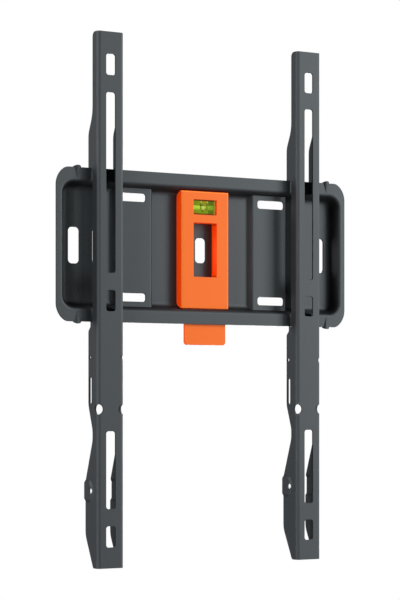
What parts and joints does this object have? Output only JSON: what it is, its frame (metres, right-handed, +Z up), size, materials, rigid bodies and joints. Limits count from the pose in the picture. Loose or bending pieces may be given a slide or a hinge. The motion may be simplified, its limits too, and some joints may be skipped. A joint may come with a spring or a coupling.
{
  "type": "tv wall mount",
  "caption": "Slim fixed wall mount for a flat screen: a pressed steel wall plate with slots, folded arms that hook over its lip and slide along it, and a spirit level that sits in the plate.",
  "frame": {"origin": "the middle of the wall plate, on the wall", "axes": "+X to the right as a viewer faces the wall, +Y into the wall, +Z up along the arms"},
  "size_m": [0.292, 0.023, 0.4546],
  "materials": {
    "plate_coat": "fine satin powder coat, charcoal",
    "arm_coat": "fine satin powder coat, charcoal",
    "level_plastic": "fine moulded satin, orange",
    "vial_clear": "clear moulded acrylic",
    "vial_liquid": "yellow-green liquid",
    "vial_stopper": "clear stopper",
    "vial_marks": "black bands"
  },
  "bodies": {
    "plate": {"wall_plate": "plate_coat", "level_body": "level_plastic", "vial_block": "vial_clear", "vial_fluid": "vial_liquid", "vial_plug": "vial_stopper", "vial_rings": "vial_marks"},
    "left_arm": {"left_arm": "arm_coat"},
    "right_arm": {"right_arm": "arm_coat"}
  },
  "joints": [
    {"name": "left_arm_slide", "type": "slide", "parent": "plate", "child": "left_arm", "axis": [1, 0, 0], "range_m": [-0.0085, 0.064]},
    {"name": "right_arm_slide", "type": "slide", "parent": "plate", "child": "right_arm", "axis": [1, 0, 0], "range_m": [-0.064, 0.0085]}
  ]
}
